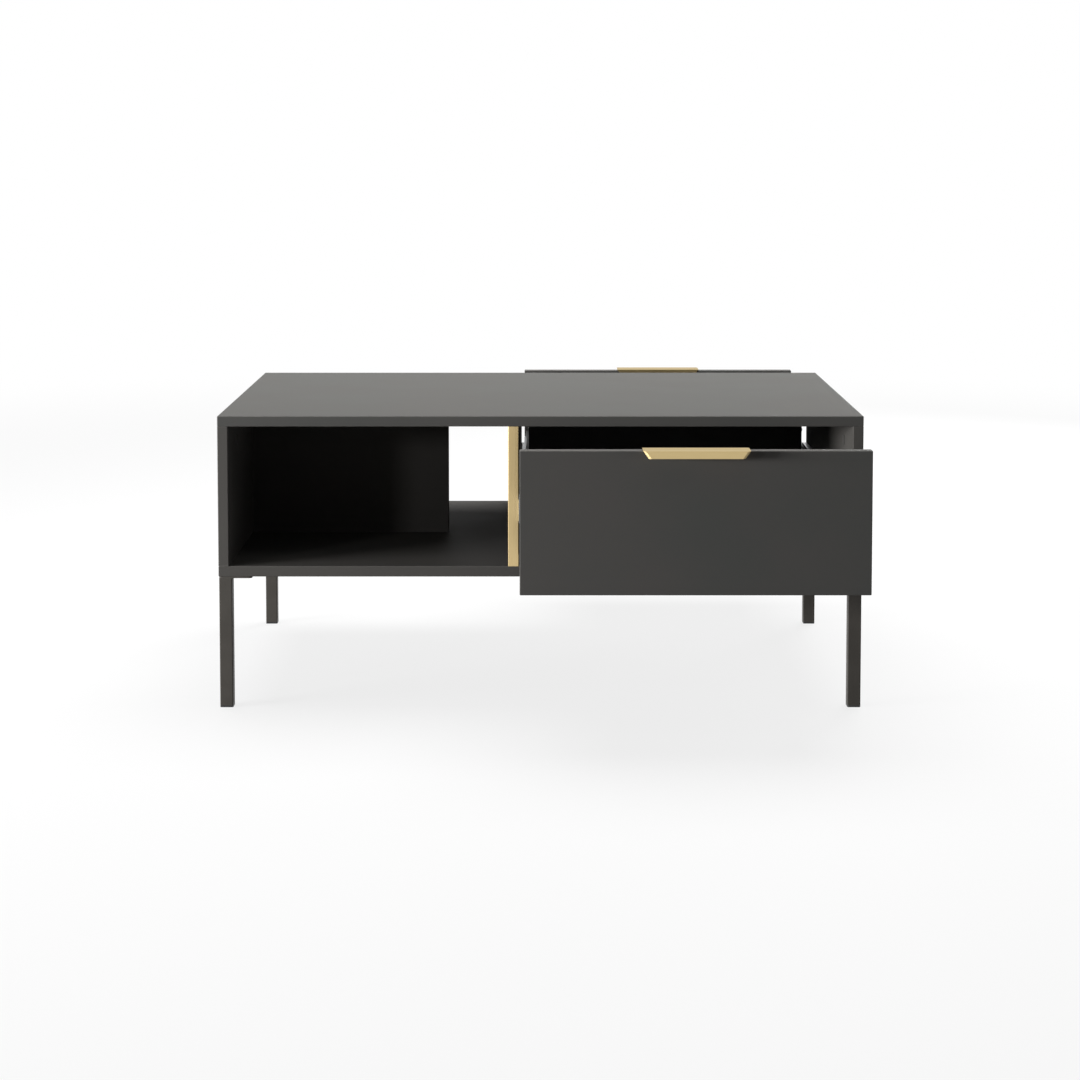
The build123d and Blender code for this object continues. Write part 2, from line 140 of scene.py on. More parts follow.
# %% Make the world
def looked_at(tree):
    """Give 1 to rays from the camera, a reflection or glass, and 0 to rays that only gather light."""
    rays = place(tree, "ShaderNodeLightPath").outputs
    seen = calculate(tree, "MAXIMUM", rays["Is Camera Ray"], rays["Is Glossy Ray"])
    return calculate(tree, "MAXIMUM", seen, rays["Is Transmission Ray"])


white = (1, 1, 1, 1)
world_light = 0.04
world = bpy.data.worlds.new("studio_world")
bpy.context.scene.world = world
world.use_nodes = True
sky = world.node_tree
sky.nodes.clear()
seen = looked_at(sky)
dim = place(sky, "ShaderNodeBackground", {"Color": white, "Strength": world_light})
bright = place(sky, "ShaderNodeBackground", {"Color": white, "Strength": 1.0})
either = place(sky, "ShaderNodeMixShader", {0: seen, 1: dim.outputs[0], 2: bright.outputs[0]})
place(sky, "ShaderNodeOutputWorld", {"Surface": either.outputs[0]})
print("world lights with", world_light)

# %% [markdown]
# Shadows tell where the lamps hung. The top is the lightest surface, so a large lamp hangs overhead,
# and it hangs a little to the rear because the top is lightest there. The fronts are lighter on the
# left, and the left wall shades the niche floor along a slanted line, so the main lamp stands low and
# far out on the left. A small lamp nearer the front lights the right part of the niche partition.
# Weak lamps fill in the front and the right, and one lights the rear for the views from behind.
# Photographers put a small card near shiny edges: one on the floor gives the handle its bright bevel,
# and it is kept from lighting anything but reflections.


# %% Hang the lamps
def hang_lamp(name, location, target, width, height, power):
    """Add a soft rectangular lamp that points at a target."""
    data = bpy.data.lights.new(name, "AREA")
    data.shape = "RECTANGLE"
    data.size = width
    data.size_y = height
    data.energy = power
    lamp = bpy.data.objects.new(name, data)
    lamp.location = location
    lamp.rotation_euler = (Vector(target) - Vector(location)).to_track_quat("-Z", "Y").to_euler()
    lamp.visible_camera = False
    bpy.context.scene.collection.objects.link(lamp)
    return lamp


# Each lamp has a place, a target, a width and a height in metres, and a power in watts.
top_lamp = hang_lamp("top_lamp", (0, 0.7, 3.0), (0, 0.6, 0), 3.2, 2.2, 174)
front_lamp = hang_lamp("front_lamp", (0.3, -1.6, 3.2), (0.2, -0.3, 0.3), 1.6, 0.8, 4)
hang_lamp("main_lamp", (-3.3, -1.45, 0.62), (0, -0.4, 0.3), 1.3, 0.45, 170)
hang_lamp("low_lamp", (-2.68, -2.9, 0.99), (-0.2, 0, 0.33), 0.3, 0.3, 14)
hang_lamp("right_lamp", (2.9, -1.9, 0.5), (0.3, -0.4, 0.25), 0.8, 0.5, 9)
rear_lamp = hang_lamp("rear_lamp", (1.5, 2.8, 1.1), (0, 0.3, 0.3), 1.4, 0.7, 70)
for lamp in (top_lamp, front_lamp, rear_lamp):
    lamp.visible_glossy = False
card = hang_lamp("handle_card", (-0.28, -0.5, 0.06), (0.15, -0.55, 0.42), 0.24, 0.24, 1.5)
card.visible_diffuse = False
print("lamps", [item.name for item in bpy.data.lights])

# %% [markdown]
# Near the table the floor is a matt grey that catches shadows, with a glow on top that makes it pale.
# The glow is only there for what looks at the floor, so it doesn't light the table from below. Far
# out the glow is all that is left, and it is as white as the world.

# %% Lay the floor
floor_radius = 6.0
fade_start = 1.6
fade_end = 4.5
floor_grey = (0.12, 0.12, 0.12, 1)
floor_glow = 0.8
floor_mesh = bpy.data.meshes.new("studio_floor")
disc = bmesh.new()
bmesh.ops.create_circle(disc, cap_ends=True, segments=96, radius=floor_radius)
disc.to_mesh(floor_mesh)
disc.free()
floor = bpy.data.objects.new("studio_floor", floor_mesh)
bpy.context.scene.collection.objects.link(floor)

floor_paint = bpy.data.materials.new("studio_floor")
floor_paint.use_nodes = True
tree = floor_paint.node_tree
tree.nodes.clear()
spot = place(tree, "ShaderNodeTexCoord").outputs["Object"]
distance = place(tree, "ShaderNodeVectorMath", {0: spot}, operation="LENGTH").outputs["Value"]
away = fade(tree, distance, fade_start, fade_end)
seen = looked_at(tree)
matt = place(tree, "ShaderNodeBsdfDiffuse", {"Color": floor_grey})
glow = calculate(tree, "MULTIPLY", seen, floor_glow)
pale = place(tree, "ShaderNodeEmission", {"Color": white, "Strength": glow})
near = place(tree, "ShaderNodeAddShader", {0: matt.outputs[0], 1: pale.outputs[0]})
far = place(tree, "ShaderNodeEmission", {"Color": white, "Strength": seen})
surface = place(tree, "ShaderNodeMixShader", {0: away, 1: near.outputs[0], 2: far.outputs[0]})
place(tree, "ShaderNodeOutputMaterial", {"Surface": surface.outputs[0]})
floor_mesh.materials.append(floor_paint)
print("floor disc", floor_radius, "m in radius")

# %% [markdown]
# ## Effects that several finishes share
# Real surfaces vary at two scales: a texture you can feel, and soft patches where the tone or the
# shine drifts. Both are noise on Object coordinates, which are metres on the table itself, so they
# stay put from every side. Each effect is a node group, built once and placed in each material with
# its own values.


# %% Fine grain and soft patches
def start_effect(name, inputs, outputs):
    """Start a shader node group with named sockets; give back the group, its inputs and its outputs."""
    group = bpy.data.node_groups.new(name, "ShaderNodeTree")
    for socket, kind in inputs:
        group.interface.new_socket(socket, in_out="INPUT", socket_type="NodeSocket" + kind)
    for socket, kind in outputs:
        group.interface.new_socket(socket, in_out="OUTPUT", socket_type="NodeSocket" + kind)
    return group, group.nodes.new("NodeGroupInput").outputs, group.nodes.new("NodeGroupOutput").inputs


def noise(tree, spot, scale, detail):
    """Add a noise texture and give back its value."""
    inputs = {"Vector": spot, "Scale": scale, "Detail": detail}
    return place(tree, "ShaderNodeTexNoise", inputs).outputs[0]


grain, entry, result = start_effect(
    "grain_and_patches",
    [("Grain Size", "Float"), ("Patch Size", "Float")],
    [("Grain", "Float"), ("Patches", "Float")],
)
spot = place(grain, "ShaderNodeTexCoord").outputs["Object"]
fine = noise(grain, spot, calculate(grain, "DIVIDE", 1.0, entry["Grain Size"]), 2.0)
soft = noise(grain, spot, calculate(grain, "DIVIDE", 1.0, entry["Patch Size"]), 3.0)
grain.links.new(fine, result["Grain"])
grain.links.new(fade(grain, soft, 0.3, 0.7), result["Patches"])
print("effect", grain.name)

# %% [markdown]
# A board wears first along its arrises, the lines where two faces meet. The group below knows the
# lowest and highest corner of a board. The distance to the nearest pair of faces is worked out per
# axis, and the middle one of the three distances tells how far a point is from the nearest arris.

# %% Wear along the arrises of a board
wear, entry, result = start_effect(
    "arris_wear",
    [("Low Corner", "Vector"), ("High Corner", "Vector"), ("Width", "Float")],
    [("Wear", "Float")],
)
spot = place(wear, "ShaderNodeTexCoord").outputs["Object"]
from_low = combine(wear, "SUBTRACT", spot, entry["Low Corner"])
from_high = combine(wear, "SUBTRACT", entry["High Corner"], spot)
nearest = combine(wear, "MINIMUM", from_low, from_high)
across, along, upward = place(wear, "ShaderNodeSeparateXYZ", {0: nearest}).outputs
smaller = calculate(wear, "MINIMUM", across, along)
larger = calculate(wear, "MAXIMUM", across, along)
arris = calculate(wear, "MAXIMUM", smaller, calculate(wear, "MINIMUM", larger, upward))
unevenness = fade(wear, noise(wear, spot, 60.0, 4.0), 0.25, 0.75, 0.75, 1.25)
reach = calculate(wear, "MULTIPLY", entry["Width"], unevenness)
untouched = fade(wear, calculate(wear, "DIVIDE", arris, reach), 0.6, 1.2)
wear.links.new(calculate(wear, "SUBTRACT", 1.0, untouched), result["Wear"])
print("effect", wear.name)

# %% [markdown]
# Brushed metal is scratched along one direction by an abrasive belt. Noise that is stretched about a
# hundredfold along that direction gives such lines.

# %% Brushed lines
brushed, entry, result = start_effect(
    "brushed_lines", [("Stretch", "Vector")], [("Lines", "Float"), ("Bands", "Float")]
)
spot = place(brushed, "ShaderNodeTexCoord").outputs["Object"]
drawn_out = combine(brushed, "MULTIPLY", spot, entry["Stretch"])
brushed.links.new(noise(brushed, drawn_out, 1.0, 3.0), result["Lines"])
brushed.links.new(noise(brushed, drawn_out, 0.12, 2.0), result["Bands"])
print("effect", brushed.name)

# %% [markdown]
# ## How a finish is put together
# Every finish is one Principled shader. What is the same all over, such as how metallic it is, is set
# on the shader itself. What varies comes from the effects and feeds the colour, the roughness and a
# bump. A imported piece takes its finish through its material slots, so its mesh stays as it is.


# %% Define the finish helpers
def start_finish(name, **constants):
    """Start a material; give back it, its tree and its shader with the constant sockets set."""
    finish = bpy.data.materials.new(name)
    finish.use_nodes = True
    shader = finish.node_tree.nodes["Principled BSDF"]
    for socket, value in constants.items():
        shader.inputs[socket.replace("_", " ").title().replace("Ior", "IOR")].default_value = value
    return finish, finish.node_tree, shader


def use_effect(tree, effect, inputs):
    """Place an effect in a material and give back its outputs."""
    return place(tree, "ShaderNodeGroup", inputs, node_tree=effect).outputs


def use_grain(tree, grain_size, patch_size):
    """Place fine grain and soft patches of two sizes."""
    return use_effect(tree, grain, {"Grain Size": grain_size, "Patch Size": patch_size})


def use_lines(tree, *stretch):
    """Place brushed lines, which run along the axis with the lowest number."""
    return use_effect(tree, brushed, {"Stretch": stretch})


def connect(tree, shader, colour, roughness, height, depth, strength):
    """Feed colour, roughness and a bump of some depth into a shader."""
    bump = place(tree, "ShaderNodeBump", {"Height": height, "Distance": depth, "Strength": strength})
    tree.links.new(colour, shader.inputs["Base Color"])
    tree.links.new(roughness, shader.inputs["Roughness"])
    tree.links.new(bump.outputs[0], shader.inputs["Normal"])


def finish_nodes(finish, *names):
    """Give CAD nodes a finish through their objects' material slots."""
    for name in names:
        for slot in nodes[name].material_slots:
            slot.material = finish


print("finishes draw on", [group.name for group in bpy.data.node_groups])

# %% [markdown]
# ## Graphite boards
# The boards are chipboard with a satin graphite laminate. It has a fine pressed texture, its tone
# drifts a little from patch to patch, and its eased edges are rubbed paler. Each board gets its own
# copy of the finish, because the wear has to know where the board ends. The top and the drawer fronts
# are a shade cooler, and the drawer fronts' tone is a little lighter too: painted light on the fronts.


# %% Finish the boards
def graphite_laminate(name, dark, light):
    """Satin graphite laminate for one board."""
    finish, tree, shader = start_finish("graphite_" + name, specular_ior_level=0.014)
    low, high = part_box(name)
    texture = use_grain(tree, 0.0006, 0.24)
    edge = use_effect(tree, wear, {"Low Corner": low, "High Corner": high, "Width": 0.0011})["Wear"]
    tone = mix_colours(tree, texture["Patches"], dark, light)
    in_pits = calculate(tree, "MULTIPLY", texture["Grain"], 0.25)
    tone = mix_colours(tree, in_pits, tone, screen_colour(76, 75, 74))
    on_edges = calculate(tree, "MULTIPLY", edge, 0.4)
    tone = mix_colours(tree, on_edges, tone, screen_colour(110, 108, 105))
    shine = fade(tree, texture["Patches"], 0.0, 1.0, 0.58, 0.66)
    connect(tree, shader, tone, shine, texture["Grain"], 0.00006, 0.5)
    return finish


ends = ("front", "rear")
board_tones = {"top_panel": ((84, 84, 82), (88, 87, 85))}
for name in ("bottom_panel", "left_side_panel", "right_side_panel", "divider_panel", "niche_partition"):
    board_tones[name] = ((84, 82, 80), (88, 86, 83))
# The drawer fronts get a lighter tone than the carcass boards: painted light on the fronts.
for end in ends:
    board_tones[f"{end}_drawer_front_panel"] = ((87, 88, 86), (92, 90, 88))
for name, (dark, light) in board_tones.items():
    finish_nodes(graphite_laminate(name, screen_colour(*dark), screen_colour(*light)), name)
print("finished", len(board_tones), "boards")

# %% [markdown]
# ## Legs
# The legs are square steel tube with a fine powder coat in the same graphite. Powder flows together
# into a surface with tiny hills, like orange peel, which breaks up the reflections.

# %% Finish the legs
hands = ("left", "right")
powder_coat, tree, shader = start_finish("graphite_powder_coat", specular_ior_level=0.1)
texture = use_grain(tree, 0.0009, 0.05)
tone = mix_colours(tree, texture["Patches"], screen_colour(74, 71, 67), screen_colour(80, 77, 73))
shine = fade(tree, texture["Grain"], 0.2, 0.8, 0.42, 0.52)
connect(tree, shader, tone, shine, texture["Grain"], 0.00012, 0.6)
leg_names = [f"{end}_{hand}_leg" for end in ends for hand in hands]
finish_nodes(powder_coat, *leg_names)
print("finished", leg_names)

# %% [markdown]
# ## Gold handles and edging
# The handles are folded from aluminium that was brushed along its length and anodised in a pale
# gold. The divider's edging is a plastic strip with a satin gold foil, whose lines run along the strip.


# %% Finish the gold pieces
def gold_metal(name, stretch, dark, light, roughness):
    """Brushed gold with a pale reflection at a flat angle."""
    finish, tree, shader = start_finish(name, metallic=1.0, specular_tint=(0.97, 0.9, 0.72, 1))
    drawn = use_lines(tree, *stretch)
    tone = mix_colours(tree, drawn["Lines"], dark, light)
    shine = fade(tree, drawn["Bands"], 0.3, 0.7, roughness - 0.04, roughness + 0.04)
    connect(tree, shader, tone, shine, drawn["Lines"], 0.00004, 0.4)
    return finish


gold_handle = gold_metal(
    "gold_anodised", (30, 2600, 2600), screen_colour(186, 165, 118), screen_colour(202, 181, 134), 0.34
)
gold_strip = gold_metal(
    "gold_foil", (2200, 2200, 24), screen_colour(196, 173, 126), screen_colour(210, 187, 140), 0.3
)
for end in ends:
    finish_nodes(gold_handle, f"{end}_drawer_handle")
    finish_nodes(gold_strip, f"{end}_divider_edging")
print("finished the gold pieces")

# %% [markdown]
# ## Drawer boxes
# Drawer boxes are foil-covered board. Inside the shadow they show as black, but from above the foil's
# printed pores show, which run along the drawer.

# %% Finish the drawer boxes
black_foil, tree, shader = start_finish("black_drawer_foil", specular_ior_level=0.35)
texture = use_grain(tree, 0.0008, 0.09)
pores = use_lines(tree, 900, 40, 900)
tone = mix_colours(tree, pores["Lines"], screen_colour(34, 34, 34), screen_colour(46, 45, 44))
shine = fade(tree, texture["Patches"], 0.0, 1.0, 0.46, 0.54)
connect(tree, shader, tone, shine, pores["Lines"], 0.00008, 0.5)
box_boards = [f"{end}_drawer_{part}" for end in ends for part in ("left_side", "right_side", "back")]
finish_nodes(black_foil, *box_boards)
print("finished", len(box_boards), "box boards")

# %% [markdown]
# The drawer bottoms are thin hardboard with a black coat. The coat is put on with rollers, which
# leave a stipple of fine dots.

# %% Finish the drawer bottoms
black_coat, tree, shader = start_finish("black_hardboard_coat", specular_ior_level=0.3)
texture = use_grain(tree, 0.0014, 0.07)
tone = mix_colours(tree, texture["Patches"], screen_colour(36, 35, 34), screen_colour(44, 43, 41))
shine = fade(tree, texture["Grain"], 0.2, 0.8, 0.5, 0.62)
connect(tree, shader, tone, shine, texture["Grain"], 0.00015, 0.6)
bottoms = [f"{end}_drawer_bottom" for end in ends]
finish_nodes(black_coat, *bottoms)
print("finished", bottoms)

# %% [markdown]
# ## Slides and fasteners
# The rails are rolled from zinc-plated sheet, with faint lines along the rolling direction and a
# cloudy plating.

# %% Finish the rails
slides = [f"{end}_{hand}" for end in ends for hand in hands]
zinc_sheet, tree, shader = start_finish("zinc_plated_sheet", metallic=1.0)
texture = use_grain(tree, 0.004, 0.035)
rolled = use_lines(tree, 1500, 20, 1500)
tone = mix_colours(tree, texture["Patches"], screen_colour(177, 179, 181), screen_colour(189, 191, 193))
shine = fade(tree, rolled["Lines"], 0.2, 0.8, 0.26, 0.38)
connect(tree, shader, tone, shine, rolled["Lines"], 0.00003, 0.5)
rails = [f"{slide}_{member}_rail" for slide in slides for member in ("cabinet", "middle", "drawer")]
finish_nodes(zinc_sheet, *rails)
print("finished", len(rails), "rails")

# %% [markdown]
# Screws, cams and bolts are plated too, but small and turned, so they only get the clouds.

# %% Finish the fasteners
zinc_fastener, tree, shader = start_finish("zinc_plated_fastener", metallic=1.0)
texture = use_grain(tree, 0.0009, 0.006)
tone = mix_colours(tree, texture["Patches"], screen_colour(176, 176, 172), screen_colour(198, 198, 196))
shine = fade(tree, texture["Patches"], 0.0, 1.0, 0.28, 0.4)
connect(tree, shader, tone, shine, texture["Grain"], 0.00004, 0.5)
fasteners = ["cam_locks", "cam_bolts", "confirmat_screws", "leg_screws", "cabinet_rail_screws"]
fasteners += [f"{end}_drawer_{part}" for end in ends for part in ("screws", "cam_locks", "cam_bolts")]
finish_nodes(zinc_fastener, *fasteners)
print("finished", len(fasteners), "fastener nodes")

# %% [markdown]
# The ball cages are moulded from natural nylon, the levers and glides from black plastic. A mould is
# often spark-eroded, which leaves a fine even texture on the plastic.


# %% Finish the moulded pieces
def moulded(name, dark, light, roughness, gloss=0.45):
    """Moulded plastic with a fine spark-eroded texture."""
    finish, tree, shader = start_finish(name, specular_ior_level=gloss)
    texture = use_grain(tree, 0.0005, 0.02)
    tone = mix_colours(tree, texture["Patches"], dark, light)
    shine = fade(tree, texture["Grain"], 0.2, 0.8, roughness - 0.05, roughness + 0.05)
    connect(tree, shader, tone, shine, texture["Grain"], 0.00008, 0.5)
    return finish


black_plastic = moulded("black_plastic", screen_colour(30, 30, 30), screen_colour(38, 38, 38), 0.45)
cage_nylon = moulded("cage_nylon", screen_colour(206, 205, 198), screen_colour(218, 217, 210), 0.4)
finish_nodes(black_plastic, "foot_glides", "front_drawer_release_levers", "rear_drawer_release_levers")
cages = [f"{slide}_{layer}" for slide in slides for layer in ("outer", "inner")]
finish_nodes(cage_nylon, *[cage + "_ball_cage" for cage in cages])
print("finished", len(cages), "cages, the levers and the glides")

# %% [markdown]
# The dowels are turned from beech and left bare, with the fibres along their length.

# %% Finish the dowels
beech, tree, shader = start_finish("bare_beech", specular_ior_level=0.3)
fibres = use_lines(tree, 1400, 1400, 60)
tone = mix_colours(tree, fibres["Lines"], screen_colour(186, 146, 104), screen_colour(214, 178, 136))
shine = fade(tree, fibres["Bands"], 0.3, 0.7, 0.55, 0.7)
connect(tree, shader, tone, shine, fibres["Lines"], 0.0001, 0.6)
finish_nodes(beech, "dowels")
print("finished the dowels")

# %% [markdown]
# ## Screws with a cross recess
# Pan-head screws hold the legs, the rails, the handles, and the backs and bottoms of the drawers. The
# packed ones are plain prisms, which is enough to hold things together but not to look at. A screw is
# a turned part, so its outline is spun round an axis.


# %% Define turned shapes
def spin_outline(shape, outline, steps):
    """Spin an outline of (radius, height) points round the Z axis and close both ends."""
    corners = [shape.verts.new((radius, 0, height)) for radius, height in outline]
    edges = [shape.edges.new(pair) for pair in zip(corners, corners[1:])]
    bmesh.ops.spin(
        shape, geom=corners + edges, cent=(0, 0, 0), axis=(0, 0, 1), angle=2 * math.pi,
        steps=steps, use_merge=True,
    )
    bmesh.ops.remove_doubles(shape, verts=shape.verts, dist=1e-6)
    bmesh.ops.holes_fill(shape, edges=[edge for edge in shape.edges if edge.is_boundary], sides=0)
    bmesh.ops.recalc_face_normals(shape, faces=shape.faces)


trial = bmesh.new()
spin_outline(trial, [(0.002, 0), (0.002, 0.001)], 12)
print("a trial disc has", len(trial.faces), "faces")
trial.free()

# %% [markdown]
# The recess is cut afterwards: four straight cuts across the top leave a cross of faces, and those are
# pushed down and narrowed like the tip of a screwdriver.


# %% Define recesses and the screw
def press_recess(shape, cuts, is_inside, depth, narrowing):
    """Cut the topmost face along straight lines and press the parts inside down."""
    height = max(face.calc_center_median().z for face in shape.faces)

    def top_faces():
        return [face for face in shape.faces if face.calc_center_median().z > height - 1e-7]

    for normal, distance in cuts:
        parts = {part for face in top_faces() for part in (face, *face.edges, *face.verts)}
        bmesh.ops.bisect_plane(
            shape, geom=list(parts), plane_co=Vector(normal) * distance, plane_no=normal
        )
    inside = [face for face in top_faces() if is_inside(face.calc_center_median())]
    pressed = bmesh.ops.extrude_face_region(shape, geom=inside)["geom"]
    bmesh.ops.delete(shape, geom=inside, context="FACES")
    corners = [part for part in pressed if isinstance(part, bmesh.types.BMVert)]
    bmesh.ops.translate(shape, verts=corners, vec=(0, 0, -depth))
    bmesh.ops.scale(shape, verts=corners, vec=(narrowing, narrowing, 1))


def press_cross(shape, arm, depth):
    """Press a cross for a screwdriver, with arms of a half width."""
    cuts = [(normal, side) for normal in ((1, 0, 0), (0, 1, 0)) for side in (-arm, arm)]
    press_recess(shape, cuts, lambda centre: min(abs(centre.x), abs(centre.y)) < arm * 0.9, depth, 0.7)


def screw_shape(shank):
    """Pan-head screw with its head above Z = 0 and its shank below."""
    shape = bmesh.new()
    outline = [
        (0.0004, -shank), (0.0017, -shank + 0.004), (0.0017, 0), (0.0035, 0),
        (0.0035, 0.0004), (0.0031, 0.001), (0.0021, 0.0014),
    ]
    spin_outline(shape, outline, 20)
    press_cross(shape, arm=0.0005, depth=0.001)
    return shape


leg_screw_shank = 0.0125
box_screw_shank = 0.0112
sample = screw_shape(box_screw_shank)
print("one screw has", len(sample.faces), "faces")
sample.free()

# %% [markdown]
# Equal fasteners are copies of one shape. A place for a copy is a spot and the direction in which its
# head points. All copies that move together become one piece that rides on their body.


# %% Define how copies become pieces
def aim_all(places):
    """Turn each (spot, direction) pair into a matrix that points the Z axis along the direction."""
    return [
        Matrix.Translation(spot) @ Vector(direction).to_track_quat("Z", "Y").to_matrix().to_4x4()
        for spot, direction in places
    ]


def copy_shape(shape, matrices):
    """Copy a finished shape by each matrix into one bmesh."""
    whole = bmesh.new()
    pattern = bpy.data.meshes.new("pattern")
    shape.to_mesh(pattern)
    shape.free()
    for matrix in matrices:
        before = set(whole.verts)
        whole.from_mesh(pattern)
        added = [corner for corner in whole.verts if corner not in before]
        bmesh.ops.transform(whole, matrix=matrix, verts=added)
    bpy.data.meshes.remove(pattern)
    return whole


def add_piece(name, whole, finish, body, smooth_below=0.6):
    """Turn a bmesh into an object that rides on a body, smooth where faces meet at a small angle."""
    mesh = bpy.data.meshes.new(name)
    for face in whole.faces:
        face.smooth = True
    for edge in whole.edges:
        edge.smooth = edge.calc_face_angle(0.0) < smooth_below
    whole.to_mesh(mesh)
    whole.free()
    mesh.materials.append(finish)
    piece = bpy.data.objects.new(name, mesh)
    bpy.context.scene.collection.objects.link(piece)
    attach(piece, body)
    print(name, len(mesh.polygons), "faces")
    return piece


def add_fasteners(name, shape, places, body):
    """Add zinc-plated copies of a shape at (spot, direction) places as one piece."""
    whole = copy_shape(shape, aim_all(places))
    return add_piece(name, whole, zinc_fastener, body)


print("a head that points down:", [tuple(row) for row in aim_all([((0, 0, 0), (0, 0, -1))])[0]])

# %% [markdown]
# Where the screws go follows from the pieces they hold. Each leg plate has three, in the corners that
# the tube leaves free. The table is the same on both sides of its middle, so only the first leg's
# places are worked out and the others are mirror images.


# %% Place the leg screws
def mirror_images(places, axis, level):
    """Mirror (spot, direction) pairs in a plane at some level of an axis, 0 for X or 1 for Y."""
    images = []
    for spot, direction in places:
        spot, direction = list(spot), list(direction)
        spot[axis] = 2 * level - spot[axis]
        direction[axis] = -direction[axis]
        images.append((spot, direction))
    return images


def in_pairs(places, axis, level):
    """Places together with their mirror images."""
    return places + mirror_images(places, axis, level)


x_axis, y_axis = 0, 1
plate_thickness = 0.0025
plate_screw_inset = 0.010
plate_low, plate_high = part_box("front_left_leg")
plate_level = plate_high.z - plate_thickness
far_x, near_x = plate_high.x - plate_screw_inset, plate_low.x + plate_screw_inset
far_y, near_y = plate_high.y - plate_screw_inset, plate_low.y + plate_screw_inset
plate_corners = ((far_x, far_y), (far_x, near_y), (near_x, far_y))
places = [((x, y, plate_level), (0, 0, -1)) for x, y in plate_corners]
places = in_pairs(in_pairs(places, x_axis, 0), y_axis, 0)
leg_screw_set = add_fasteners("leg_screw_set", screw_shape(leg_screw_shank), places, "carcass")
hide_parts("leg_screws")

# %% [markdown]
# Two screws hold each cabinet rail to its wall. They go through the rail's web from the inside, so
# their heads are low enough for the middle rail to pass.

# %% Place the cabinet rail screws
rail_sheet = 0.0012
rail_screw_inset = 0.035
front_low, front_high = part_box("front_drawer_front_panel")
bay_middle = (front_low.x + front_high.x) / 2
rail_low, rail_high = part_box("front_left_cabinet_rail")
rail_middle = (rail_low.z + rail_high.z) / 2
rail_rows = (rail_low.y + rail_screw_inset, rail_high.y - rail_screw_inset)
places = [((rail_low.x + rail_sheet, y, rail_middle), (1, 0, 0)) for y in rail_rows]
places = in_pairs(in_pairs(places, x_axis, bay_middle), y_axis, 0)
screw = screw_shape(box_screw_shank)
rail_screw_set = add_fasteners("cabinet_rail_screw_set", screw, places, "carcass")
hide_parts("cabinet_rail_screws")

# %% [markdown]
# On a drawer there are two screws in each rail, two at each end of the back, two through the handle
# and two under the bottom. They ride on the drawer, so each drawer has a set of its own.

# %% Place the drawer screws
back_screw_inset = 0.022
handle_sheet = 0.002
handle_screw_offset = 0.048
bottom_screw_inset = 0.110
side_low, side_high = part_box("front_drawer_left_side")
back_low, back_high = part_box("front_drawer_back")
web_low, web_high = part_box("front_left_drawer_rail")
handle_low, handle_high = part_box("front_drawer_handle")
web_face = side_low.x - rail_sheet
web_rows = (web_low.y + rail_screw_inset, web_high.y - rail_screw_inset)
back_row = (back_low.y + back_high.y) / 2
back_levels = (back_low.z + back_screw_inset, back_high.z - back_screw_inset)
handle_columns = (bay_middle - handle_screw_offset, bay_middle + handle_screw_offset)
handle_level = (handle_low.z + handle_high.z - handle_sheet) / 2
bottom_columns = (back_low.x + bottom_screw_inset, back_high.x - bottom_screw_inset)
bottom_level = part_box("front_drawer_bottom")[0].z
places = [((web_face, y, rail_middle), (-1, 0, 0)) for y in web_rows]
places += [((side_low.x, back_row, z), (-1, 0, 0)) for z in back_levels]
places = in_pairs(places, x_axis, bay_middle)
places += [((x, handle_high.y, handle_level), (0, 1, 0)) for x in handle_columns]
places += [((x, back_row, bottom_level), (0, 0, -1)) for x in bottom_columns]
drawer_places = {"front": places, "rear": mirror_images(places, y_axis, 0)}
for end in ends:
    screw = screw_shape(box_screw_shank)
    screw_set = add_fasteners(f"{end}_drawer_screw_set", screw, drawer_places[end], f"{end}_drawer")
    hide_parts(f"{end}_drawer_screws")

# %% [markdown]
# ## Balls
# The balls are what the slides run on. They sit in pockets of their cages and stand out of them by
# a quarter of a millimetre, so that they touch the rails above and below. There are more than a
# hundred, so each ball is a low sphere of 48 faces that is shaded smooth.

# %% Fill the cages with balls
ball_radius = 0.00178
ball_smoothing = 1.2
balls_in_row = 9
row_margin = 0.007
row_inset = 0.0015
for cage in cages:
    low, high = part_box(cage + "_ball_cage")
    middle = (low.x + high.x) / 2
    pitch = (high.y - low.y - 2 * row_margin) / (balls_in_row - 1)
    spots = [
        (middle, low.y + row_margin + pitch * count, level)
        for level in (low.z + row_inset, high.z - row_inset) for count in range(balls_in_row)
    ]
    ball = bmesh.new()
    bmesh.ops.create_uvsphere(ball, u_segments=8, v_segments=6, radius=ball_radius)
    balls = copy_shape(ball, [Matrix.Translation(spot) for spot in spots])
    add_piece(cage + "_balls", balls, zinc_fastener, cage + "_cage", ball_smoothing)

# %% [markdown]
# ## Confirmat screws and cam locks
# Confirmats are the thick screws that join two boards. Their countersunk heads lie flush in the
# underside of the bottom and have a hexagon socket, which six straight cuts outline.


# %% Place the confirmat screws
def confirmat_shape():
    """Confirmat with its flat head at Z = 0 and its shank below."""
    socket_reach = 0.002
    shape = bmesh.new()
    outline = [
        (0.001, -0.05), (0.0025, -0.047), (0.0025, -0.012),
        (0.0034, -0.011), (0.0034, -0.0019), (0.0053, 0),
    ]
    spin_outline(shape, outline, 24)
    turns = [math.radians(60 * count) for count in range(6)]
    cuts = [((math.cos(turn), math.sin(turn), 0), socket_reach) for turn in turns]
    press_recess(
        shape, cuts, lambda centre: centre.xy.length < socket_reach / 2, depth=0.0022, narrowing=0.97
    )
    return shape


